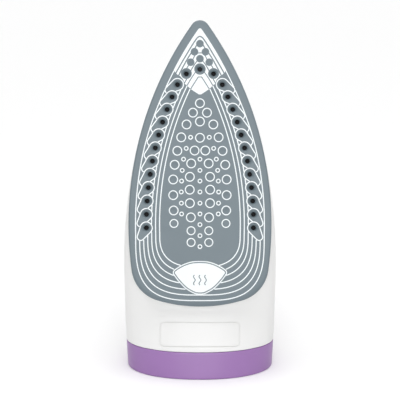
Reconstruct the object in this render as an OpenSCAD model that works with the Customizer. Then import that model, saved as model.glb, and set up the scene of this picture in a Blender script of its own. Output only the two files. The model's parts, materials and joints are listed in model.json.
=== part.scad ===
// Steam generator iron, the hand iron alone, standing on its heel.
// Row frame: +Z up, the ironing face towards -Y, origin at the middle of the heel's flat foot.
// Iron frame, used inside stand(): X across, Y forward along the soleplate from its rear edge,
// Z away from the ironing face towards the handle.

/* [Stance] */
// Angle that the soleplate leans back from upright, in degrees
lean = 14; // [13:0.5:15]
// Height of the soleplate's rear edge above the foot
heel_drop = 62; // [61:0.5:63]
// Row Y of the soleplate's rear edge
sole_y = -46; // [-48:0.5:-44]

/* [Soleplate] */
// Greatest half width of the soleplate
sole_half = 59; // [58:0.5:60]
// Thickness of the soleplate
sole_t = 3; // [2.6:0.1:3.2]
// Radius of the long side arcs
side_r = 285; // [283:1:287]
// Distance from the rear edge to the widest place
wide_u = 68; // [66:1:70]
// Radius of the nose
nose_r = 8; // [7.8:0.1:8.2]
// Radius of the rear corners
corner_r = 30; // [28:1:32]
// Radius of the rear arc
rear_r = 124; // [122:1:126]
// Radius of an open steam hole
steam_r = 1.9; // [1.6:0.1:2]
// Distance between neighbouring steam holes along the edge
steam_pitch = 11.08; // [11:0.01:11.15]

/* [Casing] */
// Wall of the plastic shells
wall = 2.6; // [2.5:0.1:2.8]
// Greatest half width of the casing
case_half = 64.5; // [64:0.5:65]
// Height at which the casing's nose ends
nose_z = 284; // [283:0.5:285]
// Height of the seam over the heel cover
seam_z = 22; // [21:0.5:23]
// Half of the gap at each seam
gap = 0.2; // [0.15:0.05:0.25]
// Half width of the block that carries the handle's rear end
block_half = 21.5; // [21:0.5:22]
// Distance from the ironing face to the back of that block
block_v = 113; // [112:0.5:114]

/* [Controls] */
// Radius of the temperature dial
dial_r = 21; // [20:0.5:21.5]
// Distance of the dial's axis from the soleplate's rear edge
dial_u = 76; // [75:0.5:77]
// Radius of the bore that takes the cord and hose
inlet_r = 5.5; // [5:0.5:6]

/* [Hidden] */
$fn = 48;

white = [0.93, 0.93, 0.92];
purple = [0.62, 0.47, 0.68];
enamel = [0.52, 0.57, 0.60];
dark = [0.22, 0.23, 0.25];
metal = [0.75, 0.76, 0.78];

// ---- frames ----

module stand() {
  translate([0, sole_y, heel_drop]) rotate([-(90 + lean), 0, 0]) rotate([0, 0, 180]) children();
}

// Row Y of a point at height z that lies v behind the ironing face
function row_y(z, v) = sole_y + (z - heel_drop) * tan(lean) + v / cos(lean);
// Distance along the soleplate of that point
function along(z, v) = (z - heel_drop + v * sin(lean)) / cos(lean);
// Row [Y, Z] of the iron frame's [u, v]
function row_yz(p) = [sole_y + p[0] * sin(lean) + p[1] * cos(lean),
                      heel_drop + p[0] * cos(lean) - p[1] * sin(lean)];

// A side-view polygon in row [Y, Z], extruded across the whole object
module side_slab(points, half = 90) {
  rotate([90, 0, 90]) linear_extrude(2 * half, center = true) polygon(points);
}

// Takes a shape of many lofted faces as one closed mesh; zeros leave its size as it is
module one_mesh() {
  resize([0, 0, 0]) children();
}

function ramp(a, b, t) = let (s = min(1, max(0, (t - a) / (b - a)))) s * s * (3 - 2 * s);
function power(x, p) = pow(max(0, x), p);

// ---- soleplate outline ----

side_x = side_r - sole_half;
nose_u = wide_u + sqrt(pow(side_r - nose_r, 2) - side_x * side_x);
sole_l = nose_u + nose_r;
// Corner circle: inside the side arc and inside the rear arc
c_a = 2 * side_x;
c_b = 2 * (rear_r - wide_u);
c_c = pow(side_r - corner_r, 2) - pow(rear_r - corner_r, 2) - side_x * side_x
      + rear_r * rear_r - wide_u * wide_u;
c_k = c_b / c_a;
c_q = c_c / c_a;
c_qa = 1 + c_k * c_k;
c_qb = -2 * rear_r - 2 * c_q * c_k;
c_qc = c_q * c_q + rear_r * rear_r - pow(rear_r - corner_r, 2);
corner_u = (-c_qb - sqrt(c_qb * c_qb - 4 * c_qa * c_qc)) / (2 * c_qa);
corner_x = c_q - c_k * corner_u;
side_low = atan2(corner_u - wide_u, corner_x + side_x);
rear_end = atan2(corner_u - rear_r, corner_x);

function arc(c, r, a0, a1, n) = [for (i = [0 : n]) c + r * [cos(a0 + (a1 - a0) * i / n),
                                                            sin(a0 + (a1 - a0) * i / n)]];
// The right half from the rear middle to the nose, inset by d
function half_outline(d) = let (
    round_nose = d < nose_r - 0.5,
    top = round_nose ? atan2(nose_u - wide_u, side_x)
                     : acos(side_x / (side_r - d))) concat(
  arc([0, rear_r], rear_r - d, -90, rear_end, 8),
  arc([corner_x, corner_u], corner_r - d, rear_end, side_low, 8),
  arc([-side_x, wide_u], side_r - d, side_low, top, 22),
  round_nose ? arc([0, nose_u], nose_r - d, top, 90, 6) : []);

module outline(d = 0) {
  right = half_outline(d);
  n = len(right);
  polygon([for (i = [0 : n - 1]) i == 0 || i == n - 1 ? [0, right[i][1]] : right[i],
           for (i = [n - 2 : -1 : 1]) [-right[i][0], right[i][1]]]);
}

module ring_outline(outer, inner) {
  difference() {
    outline(outer);
    outline(inner);
  }
}

// ---- casing sections, one for each height z, inset by d ----

function wide_v(z) = 46 - 0.115 * z;
tip_u = along(nose_z, wide_v(nose_z));
function half_w(z) = let (u = along(z, wide_v(z)), s = (u - 26) / (tip_u - 26))
  s < 0 ? case_half - 0.0004 * (u - 26) * (u - 26)
        : case_half * power(1 - power(s, 2.3), 0.8);
function front_v(z) = 8.5 - 3 * ramp(45, 100, z);
function front_n(z) = 2.15 + 2.85 * ramp(45, 120, z);
function saddle_v(z) = wide_v(z) + (21 + 0.045 * z) * power(1 - power(z / nose_z, 4), 0.75);
function block_share(z) = 1 - ramp(48, 92, z);

function bell(z, t, d) = let (
    w = half_w(z) - d, h = block_half - d, m = wide_v(z), c = block_v - 15)
  t < 0.6
  ? let (s = t / 0.6, r = 1 - s)
    [w * (r * r * r + 3 * r * r * s) + h * (3 * r * s * s + s * s * s),
     m * r * r * r + 3 * (m + 16 - d) * r * r * s + 3 * (m + 22 - d) * r * s * s + c * s * s * s]
  : let (a = (t - 0.6) / 0.4 * 90) [h * cos(a), c + (15 - d) * sin(a)];
function dome(z, t, d) = [
  (half_w(z) - d) * power(cos(90 * t), 2 / 2.4),
  wide_v(z) + (saddle_v(z) - wide_v(z) - d) * power(sin(90 * t), 2 / 2.4)];
function keel(z, t, d) = let (n = front_n(z)) [
  (half_w(z) - d) * power(cos(90 * t), 2 / n),
  wide_v(z) - (wide_v(z) - front_v(z) - d) * power(sin(90 * t), 2 / n)];

function section(z, d, n) = [for (i = [0 : n - 1]) let (
    a = 360 * i / n,
    back = a <= 180,
    b = back ? a : 360 - a,
    right = b <= 90,
    t = (right ? b : 180 - b) / 90,
    k = block_share(z),
    p = back ? k * bell(z, t, d) + (1 - k) * dome(z, t, d) : keel(z, t, d))
  [right ? p[0] : -p[0], row_y(z, p[1]), z]];

module skin(rings) {
  n = len(rings[0]);
  m = len(rings);
  polyhedron(
    points = [for (r = rings) each r],
    faces = concat(
      [[for (i = [0 : n - 1]) i]],
      [for (k = [0 : m - 2], i = [0 : n - 1]) let (j = (i + 1) % n)
        each [[k * n + i, (k + 1) * n + i, (k + 1) * n + j], [k * n + i, (k + 1) * n + j, k * n + j]]],
      [[for (i = [n - 1 : -1 : 0]) (m - 1) * n + i]]));
}

module casing(d, z0, z1, count, n) {
  skin([for (i = [0 : count]) section(z0 + (z1 - z0) * (1 - pow(1 - i / count, 1.25)), d, n)]);
}

casing_rings = 40;
casing_sides = 48;
module casing_outer() {
  casing(0, 0, nose_z - 1.6, casing_rings, casing_sides);
}
module casing_inner(floor_z = wall) {
  casing(wall, floor_z, nose_z - 9, 22, 32);
}

// ---- handle sweep, in the iron frame ----

// Centre line of the handle: [u, v, half width, half thickness]
grip_line = [[-28, 95, 19, 14], [-18, 97, 19, 14], [14, 103, 18, 14], [52, 107, 16.5, 13.5],
             [92, 107, 16, 13.5], [126, 102, 17, 14], [152, 89, 18, 14], [170, 71, 19, 14],
             [181, 50, 21, 15], [186, 32, 22, 15], [188, 22, 22, 15]];

function spline(p, s) = let (
    i = min(len(p) - 3, max(1, floor(s))), t = s - i,
    a = p[i - 1], b = p[i], c = p[i + 1], d = p[min(i + 2, len(p) - 1)])
  0.5 * (2 * b + (c - a) * t + (2 * a - 5 * b + 4 * c - d) * t * t
         + (3 * b - a - 3 * c + d) * t * t * t);

function grip_ring(s, d, n) = let (
    p = spline(grip_line, s), q = spline(grip_line, s + 0.02) - spline(grip_line, s - 0.02),
    l = norm([q[0], q[1]]), nu = -q[1] / l, nv = q[0] / l)
  [for (i = [0 : n - 1]) let (
      a = -360 * i / n, c = cos(a), e = sin(a),
      x = sign(c) * (p[2] - d) * power(abs(c), 2 / 2.4),
      h = sign(e) * (p[3] - d) * power(abs(e), 2 / 2.4))
    [x, p[0] + h * nu, p[1] + h * nv]];

grip_from = 1.02;
grip_to = 8.98;
module grip(d, from, to, count, n) {
  stand() skin([for (i = [0 : count]) grip_ring(from + (to - from) * i / count, d, n)]);
}
module grip_outer() {
  grip(0, grip_from, grip_to, 34, 32);
}
module grip_inner() {
  grip(wall, grip_from, grip_to, 22, 24);
}

function grip_points(from, to, count, lift) = [for (i = [0 : count]) let (
    s = from + (to - from) * i / count,
    p = spline(grip_line, s), q = spline(grip_line, s + 0.02) - spline(grip_line, s - 0.02),
    l = norm([q[0], q[1]]))
  row_yz([p[0] - lift * q[1] / l, p[1] + lift * q[0] / l])];

// Everything on the outer side of the handle's centre line
module over_grip(lift) {
  side_slab(concat(grip_points(grip_from, grip_to, 30, lift),
    [row_yz([300, 20]), row_yz([300, 200]), row_yz([-70, 200]), row_yz([-70, 90])]));
}

// Everything lower than the handle cover's rear end
cover_low = 54;
module below_cover() {
  translate([-100, -100, 0]) cube([200, 300, cover_low - gap]);
}

// Row slabs on either side of the casing's parting plane
module behind_parting() {
  side_slab([[row_y(0, wide_v(0) + gap), 0], [300, 0], [300, 320],
             [row_y(320, wide_v(320) + gap), 320]]);
}
module before_parting() {
  side_slab([[row_y(0, wide_v(0) - gap), 0], [-200, 0], [-200, 320],
             [row_y(320, wide_v(320) - gap), 320]]);
}
module over_seam() {
  translate([-100, -100, seam_z + gap]) cube([200, 300, 400]);
}

// ---- soleplate and steam chamber ----

dimple_r = 11;
dimple_depth = 1.1;
steam_arc = side_r - 14.8;
// Angle of each edge steam hole on its arc about the side arc's centre
function steam_angle(i) = -0.65 + 2 * asin(steam_pitch / 2 / steam_arc) * i;

// Open steam holes: twelve along each edge and three at the nose
module at_steam_holes() {
  for (side = [-1, 1], i = [0 : 11])
    translate([side * (steam_arc * cos(steam_angle(i)) - side_x),
               wide_u + steam_arc * sin(steam_angle(i)), 0]) children();
  translate([0, sole_l - 40.3, 0]) children();
  for (side = [-1, 1]) translate([side * 11.2, sole_l - 44, 0]) children();
}

module soleplate() {
  color(enamel) stand() difference() {
    union() {
      linear_extrude(sole_t) outline(1.2);
      translate([0, 0, 0.8]) linear_extrude(sole_t - 0.8) outline(0);
    }
    at_steam_holes() {
      translate([0, 0, -1]) cylinder(h = 9, r = steam_r);
      translate([0, 0, -dimple_r + dimple_depth]) sphere(r = dimple_r);
    }
  }
}

seal_t = 0.5;
chamber_v = sole_t + seal_t;
chamber_top = 19;
gasket_t = 0.8;
cover_t = 1.5;
cover_top = chamber_top + gasket_t + cover_t;
screw_spots = [[-30, 40], [30, 40], [-19, 150], [19, 150]];

module sole_seal() {
  color("silver") stand() translate([0, 0, sole_t]) linear_extrude(seal_t) ring_outline(7.5, 10);
}

// Heating element: a hairpin tube, two arcs joined round the nose
element_inset = 14.5;
element_arc = side_r - element_inset;
bend_r = 14;
bend_u = wide_u + sqrt(pow(element_arc - bend_r, 2) - side_x * side_x);
bend_angle = atan2(bend_u - wide_u, side_x);
element_low = -9;
module along_element() {
  for (side = [0, 1]) mirror([side, 0, 0])
    translate([-side_x, wide_u, 0]) rotate([0, 0, element_low])
      rotate_extrude(angle = bend_angle - element_low) translate([element_arc, 0]) children();
  translate([0, bend_u, 0]) rotate([0, 0, bend_angle])
    rotate_extrude(angle = 180 - 2 * bend_angle) translate([bend_r, 0]) children();
}
element_x = element_arc * cos(element_low) - side_x;
element_u = wide_u + element_arc * sin(element_low);
element_v = 13.4;
module at_element_ends() {
  for (side = [-1, 1]) translate([side * element_x, element_u, 0]) children();
}

// Everything ahead of the chamber's blunt front end
chamber_front = 212;
module ahead_of_chamber() {
  translate([-40, chamber_front, -1]) cube([80, 60, 60]);
}

module steam_chamber() {
  color(metal) stand() difference() {
    translate([0, 0, chamber_v]) linear_extrude(chamber_top - chamber_v) outline(7);
    ahead_of_chamber();
    // Steam space under the cover, divided by two ribs
    difference() {
      translate([0, 0, 9]) linear_extrude(20) outline(26);
      for (u = [70, 118]) translate([-60, u, 0]) cube([95, 3, 30]);
      for (p = screw_spots) translate([p[0], p[1], 0]) cylinder(h = 30, r = 4.5);
      translate([0, dial_u, 0]) cylinder(h = 30, r = 8);
    }
    translate([0, 0, element_v]) along_element() translate([-4.2, -4.2]) square([8.4, 14]);
    at_element_ends() translate([0, 0, element_v - 4.2]) cylinder(h = 20, r = 5);
    for (p = screw_spots) translate([p[0], p[1], 10]) cylinder(h = 20, r = 1.6);
    // Steam gallery that feeds the holes
    translate([0, 0, chamber_v - 1]) linear_extrude(3.5) ring_outline(11.5, 21);
    for (side = [-1, 1]) translate([side * 12, 165, 0]) cylinder(h = 12, r = 3);
    for (side = [-1, 1]) translate([side * 9, 178, 0]) cylinder(h = 12, r = 2);
  }
}

module heating_element() {
  color("dimgray") stand() {
    translate([0, 0, element_v]) along_element() circle(r = 4);
    at_element_ends() translate([0, 0, element_v - 3.9]) cylinder(h = 13.4, r = 4.2);
    at_element_ends() translate([0, 0, 20]) cylinder(h = 14, r = 1.3);
  }
}

module element_insulators() {
  color("white") stand() at_element_ends() difference() {
    translate([0, 0, element_v + 9.5]) cylinder(h = 5, r = 4);
    cylinder(h = 60, r = 1.4);
  }
}

module cover_outline(extra, holes) {
  difference() {
    outline(22.5 + extra);
    for (p = screw_spots) translate(p) circle(r = holes);
  }
}

module chamber_gasket() {
  color("firebrick") stand() translate([0, 0, chamber_top]) linear_extrude(gasket_t)
    difference() {
      cover_outline(0, 1.8);
      difference() {
        outline(26.5);
        for (p = screw_spots) translate(p) circle(r = 4.5);
      }
    }
}

module chamber_cover() {
  color(metal) stand() difference() {
    translate([0, 0, chamber_top + gasket_t]) linear_extrude(cover_t) cover_outline(0, 1.8);
    translate([nipple_x, nipple_u, 0]) cylinder(h = 40, r = 2.4);
  }
}

module cover_screws() {
  color("gray") stand() for (p = screw_spots) translate([p[0], p[1], 0]) difference() {
    union() {
      translate([0, 0, 11]) cylinder(h = cover_top - 11 + 1, r = 1.5);
      translate([0, 0, cover_top]) cylinder(h = 2, r = 3);
    }
    translate([-2.5, -0.4, cover_top + 1.1]) cube([5, 0.8, 2]);
  }
}

module heat_shield() {
  color("lightgray") stand() difference() {
    translate([0, 0, chamber_v]) linear_extrude(16) ring_outline(5.3, 5.9);
    ahead_of_chamber();
  }
}

// ---- thermostat, fuse and steam feed ----

module thermostat() {
  color("tan") stand() translate([0, dial_u, cover_top]) difference() {
    union() {
      translate([-9, -13, 0]) cube([18, 26, 1.6]);
      cylinder(h = 9, r = 8);
      cylinder(h = 14, r = 4.5);
      translate([-3, -19, 0]) cube([6, 8, 5]);
      for (side = [-1, 1]) translate([side * 5.5 - 1.5, 3, 5]) cube([3, 17, 1]);
    }
    translate([0, 0, 4]) cylinder(h = 20, r = spindle_r + 0.05);
  }
}

fuse_u = 112;
module thermal_fuse() {
  color("silver") stand() translate([0, fuse_u, cover_top + 3.4]) rotate([0, 90, 0]) {
    cylinder(h = 14, r = 2.4, center = true);
    cylinder(h = 30, r = 0.6, center = true);
  }
}

module fuse_clip() {
  color(metal) stand() translate([0, fuse_u, cover_top]) difference() {
    translate([-4, -4.5, 0]) cube([8, 9, 5]);
    translate([0, 0, 3.4]) rotate([0, 90, 0]) cylinder(h = 20, r = 2.42, center = true);
    translate([-10, -1.8, 3.4]) cube([20, 3.6, 10]);
  }
}

nipple_x = 13;
nipple_u = 52;
nipple_top = cover_top + 13;
module steam_nipple() {
  color("goldenrod") stand() translate([nipple_x, nipple_u, 0]) difference() {
    union() {
      translate([0, 0, chamber_top + gasket_t]) cylinder(h = 8, r = 2.35);
      translate([0, 0, cover_top]) cylinder(h = 2.5, r = 4.5);
      translate([0, 0, cover_top]) cylinder(h = 13, r = 2.2);
    }
    cylinder(h = 60, r = 1.4);
  }
}

// Round tube along a smooth line through chosen points, in the iron frame
function unit(v) = v / norm(v);
function route(points, count) = [for (i = [0 : count])
  spline(points, 1 + (len(points) - 3) * i / count)];
function tube_rings(line, r, n) = let (m = len(line))
  [for (k = [0 : m - 1]) let (
      t = unit(line[min(k + 1, m - 1)] - line[max(k - 1, 0)]),
      s = unit(cross(t, [0.29, 0.41, 0.86] + (abs(t[2]) > 0.95 ? [0.9, 0, 0] : [0, 0, 0]))),
      b = cross(t, s))
    [for (i = [0 : n - 1]) line[k] + r * (cos(360 * i / n) * s + sin(360 * i / n) * b)]];
module tube(points, r, count, n = 8) {
  stand() skin(tube_rings(route(points, count), r, n));
}
// The points with one more at each end, so that the line starts and stops at the real ends
function ends(p) = concat([2 * p[0] - p[1]], p, [2 * p[len(p) - 1] - p[len(p) - 2]]);

hose_points = [[3, 2, 93], [6, -4, 84], [9, -14, 68], [12, -12, 54], [13, 4, 46], [13, 26, 47],
               [13, 44, 47], [13, 51, 42], [13, 52, 36.5]];
module steam_hose() {
  color("gainsboro") tube(ends(hose_points), 3.6, 26, 10);
}

module hose_clips() {
  color("gray") stand() translate([nipple_x, nipple_u, nipple_top + 2.5]) difference() {
    cylinder(h = 3, r = 4.8, center = true);
    cylinder(h = 5, r = 3.75, center = true);
  }
}

// ---- casings ----

plinth_inset = 2;
opening_inset = 4.7;
// Raised rim of the lower casing that carries the soleplate
module plinth(inset) {
  intersection() {
    stand() translate([0, 0, sole_t + 0.4]) linear_extrude(26) outline(inset);
    side_slab([row_yz([245, -5]), row_yz([245, 8]), row_yz([120, 13]), row_yz([30, 20]),
               row_yz([-6, 23]), row_yz([-6, -5])]);
  }
}

// Shallow blank panel under the soleplate's rear edge
panel_u = [-34.5, -13.5];
panel_half = 33.5;
module panel_prism() {
  stand() translate([0, (panel_u[0] + panel_u[1]) / 2, -2]) linear_extrude(30)
    offset(r = 4) square([2 * panel_half - 8, panel_u[1] - panel_u[0] - 8], center = true);
}

post_x = 33;
post_y = -3;
block_u = -22;
module lower_casing() {
  color(white) one_mesh() union() {
    difference() {
      intersection() {
        union() {
          casing_outer();
          plinth(plinth_inset);
        }
        before_parting();
        over_seam();
      }
      casing_inner();
      stand() translate([0, 0, -5]) linear_extrude(60) outline(opening_inset);
      difference() {
        panel_prism();
        casing(0.6, 10, 80, 12, casing_sides);
      }
    }
    // Seat of the terminal block
    intersection() {
      stand() translate([-17, block_u - 9, 9]) cube([34, 18, 15]);
      casing(1, 10, 80, 10, 32);
      over_seam();
    }
  }
}

dial_floor = 50.5;
dial_rim = 61.2;
lamp_u = 124;
lamp_v = 54.5;
module body_shell() {
  color(white) one_mesh() difference() {
    union() {
      difference() {
        intersection() {
          union() {
            casing_outer();
            difference() {
              grip_outer();
              over_grip(-gap);
            }
            intersection() {
              grip_outer();
              below_cover();
            }
            at_inlet() translate([0, 0, -20]) cylinder(h = 20, r = 12.5);
          }
          behind_parting();
          over_seam();
        }
        casing_inner();
        grip_inner();
      }
      // Inner floor, with posts for the heel screws
      intersection() {
        casing(wall - 0.5, 10, 60, 10, casing_sides);
        behind_parting();
        translate([-100, -100, 26]) cube([200, 300, 2.4]);
      }
      for (side = [-1, 1]) translate([side * post_x, post_y, 10]) cylinder(h = 18, r = 4.5, $fn = 24);
    }
    for (side = [-1, 1]) translate([side * post_x, post_y, 0]) cylinder(h = 40, r = 1.75, $fn = 24);
    stand() translate([0, dial_u, dial_floor - 1]) cylinder(h = 30, r = dial_r + 4.2, $fn = 64);
    stand() translate([0, lamp_u, 40]) cylinder(h = 20, r = 4.2, $fn = 32);
    stand() trigger_slot();
    at_inlet() translate([0, 0, -30]) cylinder(h = 60, r = 8.3, $fn = 40);
  }
}

// The pad's bed on the handle: between two points of the centre line and above it
pad_from = 2.25;
pad_to = 5.1;
pad_sunk = 1.1;
module pad_zone(extra) {
  low = pad_from - extra / 40;
  high = pad_to + extra / 40;
  side_slab(concat(
    grip_points(low, high, 20, 6 - extra),
    [grip_points(high, high + 1, 1, 40)[0], grip_points(low, low + 1, 1, 40)[0]]));
}

module handle_cover() {
  color(purple) one_mesh() difference() {
    intersection() {
      grip_outer();
      over_grip(gap);
      translate([-100, -100, cover_low + gap]) cube([200, 300, 300]);
    }
    grip_inner();
    casing(-0.3, 0, nose_z - 1.6, casing_rings, casing_sides);
    difference() {
      pad_zone(0.15);
      grip(pad_sunk + 0.1, grip_from, grip_to, 34, 32);
    }
  }
}

module grip_pad() {
  color(dark) one_mesh() intersection() {
    difference() {
      grip(-0.5, 2, 5.4, 20, 32);
      grip(pad_sunk, 1.8, 5.6, 20, 32);
    }
    pad_zone(0);
  }
}

module heel_cover() {
  color(purple) one_mesh() difference() {
    union() {
      difference() {
        intersection() {
          casing_outer();
          translate([-100, -100, 0]) cube([200, 300, seam_z - gap]);
        }
        casing_inner();
      }
      for (side = [-1, 1]) translate([side * post_x, post_y, 0]) cylinder(h = 9.6, r = 5.5, $fn = 24);
    }
    for (side = [-1, 1]) translate([side * post_x, post_y, -1]) {
      cylinder(h = 5, r = 3.8, $fn = 24);
      cylinder(h = 20, r = 1.9, $fn = 24);
    }
  }
}

module heel_screws() {
  color("gray") for (side = [-1, 1]) translate([side * post_x, post_y, 0]) difference() {
    union() {
      translate([0, 0, 1.4]) cylinder(h = 2.6, r = 3.4);
      translate([0, 0, 4]) cylinder(h = 24, r = 1.6);
    }
    for (a = [0, 90]) rotate([0, 0, a]) translate([-2, -0.45, 0]) cube([4, 0.9, 2.6]);
  }
}

// ---- cord inlet ----

inlet_u = 3;
inlet_v = 117.4;
// Middle of the inlet's mouth, with its axis leaving the handle's back
module at_inlet() {
  stand() translate([0, inlet_u, inlet_v]) children();
}

gland_deep = 15;
module cord_gland() {
  color(dark) at_inlet() difference() {
    union() {
      translate([0, 0, -gland_deep]) cylinder(h = gland_deep + 1, r = 8);
      translate([0, 0, 0.2]) cylinder(h = 2.6, r = 11);
      translate([0, 0, 2.8]) cylinder(h = 6, r1 = 9.6, r2 = 8.4);
    }
    translate([0, 0, -20]) cylinder(h = 40, r = inlet_r);
  }
}

// Bar that grips the wires just inside the gland, held by two screws
clamp_deep = 21;
module at_clamp() {
  at_inlet() translate([0, -8.5, -clamp_deep]) rotate([90, 0, 0]) children();
}
module cord_clamp() {
  color(dark) at_clamp() difference() {
    translate([-13, -3, -1]) cube([26, 6, 4]);
    for (side = [-1, 1]) translate([side * 10.5, 0, -9]) cylinder(h = 20, r = 1.5);
  }
}

module clamp_screws() {
  color("gray") at_clamp() for (side = [-1, 1]) translate([side * 10.5, 0, 0]) {
    translate([0, 0, -2.8]) cylinder(h = 1.8, r = 2.6);
    translate([0, 0, -1]) cylinder(h = 4.4, r = 1.4);
  }
}

// ---- wiring ----

block_top = 33;
terminal_x = [-12, -4, 4, 12];
module terminal_block() {
  color("ivory") stand() difference() {
    translate([-17, block_u - 7, 24]) cube([34, 14, block_top - 24]);
    for (x = terminal_x) {
      translate([x, block_u - 3, 27]) cylinder(h = 20, r = 1.7);
      translate([x, block_u + 3.2, 26]) cylinder(h = 20, r = 1.6);
    }
  }
}

module terminal_screws() {
  color("gray") stand() for (x = terminal_x) translate([x, block_u - 3, 0]) difference() {
    translate([0, 0, 27]) cylinder(h = 5, r = 1.6);
    translate([-2, -0.3, 31]) cube([4, 0.6, 2]);
  }
}

wire_r = 1.1;
module wire(points, count = 16) {
  tube(ends(points), wire_r, count);
}
live_points = [[-8, -4, 92], [-10, -10, 80], [-12, -15, 62], [-12, -18.8, 44], [-12, -18.8, 27]];
neutral_points = [[-4.5, -6, 92], [-5, -11, 80], [-4.5, -16, 60], [-4, -18.8, 44], [-4, -18.8, 27]];
earth_points = [[-1.5, -9, 91], [-0.5, -13, 78], [2, -17, 60], [4, -19.5, 46], [4, -18.8, 38],
                [4, -18.8, 27]];
module live_wire() {
  color("saddlebrown") wire(live_points);
}
module neutral_wire() {
  color("royalblue") wire(neutral_points);
}
module earth_wire() {
  color("limegreen") wire(earth_points);
}

module element_wires() {
  color("firebrick") for (side = [-1, 1])
    wire([[side * 12, block_u + 6, 34.5], [side * 17, -8, 39], [side * 28, 6, 43],
          [side * element_x, element_u - 4, 44], [side * element_x, element_u, 40],
          [side * element_x, element_u, 35.2]]);
}

module switch_wires() {
  color("black") for (side = [-1, 1])
    wire([[side * 2 - 13, -6, 88], [side * 2 - 12, 8, 94], [side * 3 - 4, 24, 103], [side * 3, 52, 112],
          [side * 3, 92, 113], [side * 3, 112, 112], [side * 3, 118, 110], [side * 2, 118, 105.5]], 24);
}

module lamp_wires() {
  color("firebrick") for (side = [-1, 1])
    wire([[side * 6, dial_u + 20.5, cover_top + 6], [side * 8, 104, 35], [side * 5, 116, 38],
          [side * 1.2, 123, 40], [side * 1.2, lamp_u, 43.8]]);
}

// ---- trigger and switch ----

pivot_u = 146;
pivot_v = 92;
trigger_half = 6.5;
module trigger_slot() {
  translate([-trigger_half - 0.6, 91.5, 80]) cube([2 * trigger_half + 1.2, 50, 18]);
}

// Finger lever: a hooked blade with a hub on the pin
lever_top = [[96, 94.5], [104, 97], [128, 97], [138, 98], [146, 96]];
lever_low = [[146, 88], [139, 87], [130, 86], [118, 83], [106, 82], [98, 84], [94, 88.5], [93.5, 93]];
module trigger() {
  color(purple) stand() difference() {
    union() {
      rotate([90, 0, 90]) linear_extrude(2 * trigger_half, center = true)
        polygon(concat(lever_top, lever_low));
      translate([0, pivot_u, pivot_v]) rotate([0, 90, 0])
        cylinder(h = 2 * trigger_half, r = 5, center = true);
    }
    translate([0, pivot_u, pivot_v]) rotate([0, 90, 0]) cylinder(h = 40, r = 1.55, center = true);
    translate([0, spring_u, 95]) cylinder(h = 10, r = 3.6);
  }
}

module trigger_pin() {
  color("gray") stand() translate([0, pivot_u, pivot_v]) rotate([0, 90, 0])
    cylinder(h = 21, r = 1.5, center = true);
}

carrier_v = 108;
spring_u = 112;
spring_r = 2.6;
module trigger_spring() {
  turns = 5;
  steps = 12;
  low = 95.4;
  high = carrier_v - 0.4;
  color("silver") stand() translate([0, spring_u, 0]) skin(tube_rings(
    [for (i = [0 : turns * steps]) [spring_r * cos(360 * i / steps), spring_r * sin(360 * i / steps),
      low + (high - low) * i / (turns * steps)]], 0.4, 6));
}

switch_u = 126;
switch_v = 99.5;
ear_side = [[116, 109.6], [131, 109.6], [141, 100], [151, 95], [151, 88.5], [143, 88], [137, 93],
            [127, 99], [116, 103]];
module switch_carrier() {
  color(dark) stand() difference() {
    union() {
      translate([-9.5, 102, carrier_v]) cube([19, 28, 1.6]);
      for (side = [-1, 1]) translate([side * 8.3, 0, 0]) rotate([90, 0, 90])
        linear_extrude(2.4, center = true) polygon(ear_side);
    }
    translate([0, pivot_u, pivot_v]) rotate([0, 90, 0]) cylinder(h = 40, r = 1.52, center = true);
    for (side = [-1, 1]) translate([side * 3, 118, carrier_v - 1]) cylinder(h = 4, r = 1.6);
  }
}

module micro_switch() {
  color("dimgray") stand() difference() {
    union() {
      translate([-3.2, 121, switch_v]) cube([6.4, 14, carrier_v - switch_v]);
      for (side = [-1, 1]) translate([side * 2 - 0.4, 119, switch_v + 5]) cube([0.8, 3, 1.2]);
    }
    translate([0, plunger_u, switch_v - 1]) cylinder(h = 5, r = 1.25);
  }
}

plunger_u = 131;
module switch_plunger() {
  color("white") stand() translate([0, plunger_u, lever_at(plunger_u) + 0.1])
    cylinder(h = switch_v + 1.2 - lever_at(plunger_u), r = 1.2);
}
function lever_at(u) = lookup(u, [[128, 97], [138, 98]]);

// ---- dial and lamp ----

spindle_r = 3;
dial_low = 56;
dial_top = 64.5;
module dial_bezel() {
  color(white) stand() translate([0, dial_u, 0]) difference() {
    union() {
      translate([0, 0, dial_floor]) cylinder(h = dial_rim - dial_floor, r = dial_r + 4);
      translate([0, 0, dial_rim - 1.2]) cylinder(h = 1.2, r = dial_r + 5);
    }
    translate([0, 0, dial_floor + 2]) cylinder(h = 20, r = dial_r + 0.8);
    translate([0, 0, 40]) cylinder(h = 20, r = spindle_r + 0.4);
  }
}

module thermostat_dial() {
  color("lightgray") stand() translate([0, dial_u, 0]) difference() {
    union() {
      translate([0, 0, dial_floor + 2.6]) cylinder(h = dial_top - 2 - dial_floor - 2.6, r = dial_r);
      translate([0, 0, dial_top - 2]) cylinder(h = 2, r1 = dial_r, r2 = dial_r - 2);
      translate([-3.5, -dial_r + 4, dial_top - 1]) cube([7, 2 * dial_r - 8, 4]);
    }
    for (i = [0 : 23]) rotate([0, 0, 15 * i + 7.5]) translate([dial_r + 1.1, 0, dial_low])
      cylinder(h = 20, r = 1.9);
    translate([0, 0, 40]) cylinder(h = 20.2, r = spindle_r + 0.05);
  }
}

module dial_pointer() {
  color(purple) stand() translate([-1, dial_u + 5, dial_top + 3]) cube([2, 10, 0.5]);
}

module dial_spindle() {
  color("silver") stand() translate([0, dial_u, cover_top + 4.4])
    cylinder(h = 60 - cover_top - 4.4, r = spindle_r);
}

module lamp_lens() {
  color("orange") stand() translate([0, lamp_u, 0]) intersection() {
    union() {
      translate([0, 0, 48]) cylinder(h = lamp_v - 48, r = 4);
      translate([0, 0, lamp_v]) cylinder(h = 3, r = 4);
    }
    translate([0, 0, lamp_v + 2 - 9]) sphere(r = 9);
  }
}

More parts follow.
